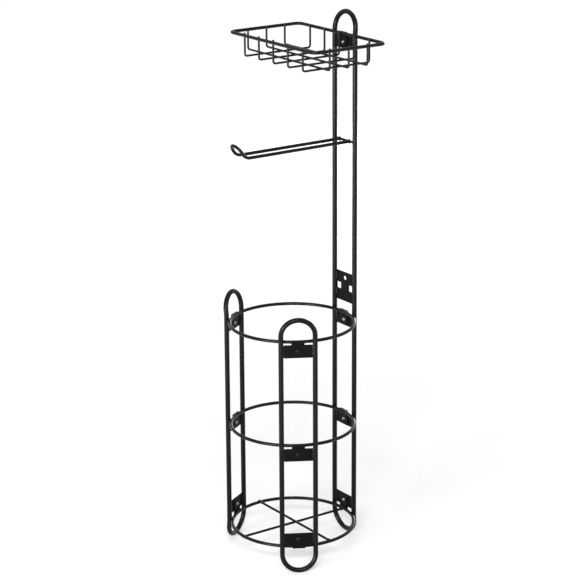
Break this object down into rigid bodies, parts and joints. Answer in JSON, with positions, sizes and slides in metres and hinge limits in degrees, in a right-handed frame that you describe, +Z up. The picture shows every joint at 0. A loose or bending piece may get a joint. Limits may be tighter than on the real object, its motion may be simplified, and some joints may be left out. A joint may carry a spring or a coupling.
{
  "type": "freestanding toilet paper holder",
  "caption": "Free-standing wire toilet paper holder: a ringed column stores spare rolls, and a tall pole carries a roll arm and a magazine basket.",
  "frame": {"origin": "on the vertical axis of the storage rings, at floor level", "axes": "+Z up, +Y from the rings' axis towards the tall pole, so the roll arm points to -Y; +X to the right as seen from the arm's tip"},
  "size_m": [0.175, 0.1661, 0.6599],
  "materials": {
    "wire_black": "satin black powder coat",
    "plate_black": "satin black powder coat",
    "screw_black": "black plated steel"
  },
  "bodies": {
    "root": {"arm_crossbar": "wire_black", "base_left_plate": "plate_black", "base_left_tab": "plate_black", "base_pole_plate": "plate_black", "base_pole_tab": "plate_black", "base_right_plate": "plate_black", "base_right_tab": "plate_black", "base_ring": "wire_black", "base_rod_front_to_back": "wire_black", "base_rod_side_to_side": "wire_black", "basket_cross_wire_1": "wire_black", "basket_cross_wire_2": "wire_black", "basket_cross_wire_3": "wire_black", "basket_cross_wire_4": "wire_black", "basket_cross_wire_5": "wire_black", "basket_long_wire_1": "wire_black", "basket_long_wire_2": "wire_black", "basket_long_wire_3": "wire_black", "basket_plate": "plate_black", "basket_rim": "wire_black", "basket_tab": "plate_black", "joint_screws": "screw_black", "left_loop": "wire_black", "middle_left_plate": "plate_black", "middle_left_tab": "plate_black", "middle_pole_plate": "plate_black", "middle_pole_tab": "plate_black", "middle_right_plate": "plate_black", "middle_right_tab": "plate_black", "middle_ring": "wire_black", "pole": "wire_black", "pole_fixing_plate": "plate_black", "right_loop": "wire_black", "roll_arm": "wire_black", "top_left_plate": "plate_black", "top_left_tab": "plate_black", "top_pole_plate": "plate_black", "top_pole_tab": "plate_black", "top_right_plate": "plate_black", "top_right_tab": "plate_black", "top_ring": "wire_black"}
  },
  "joints": []
}
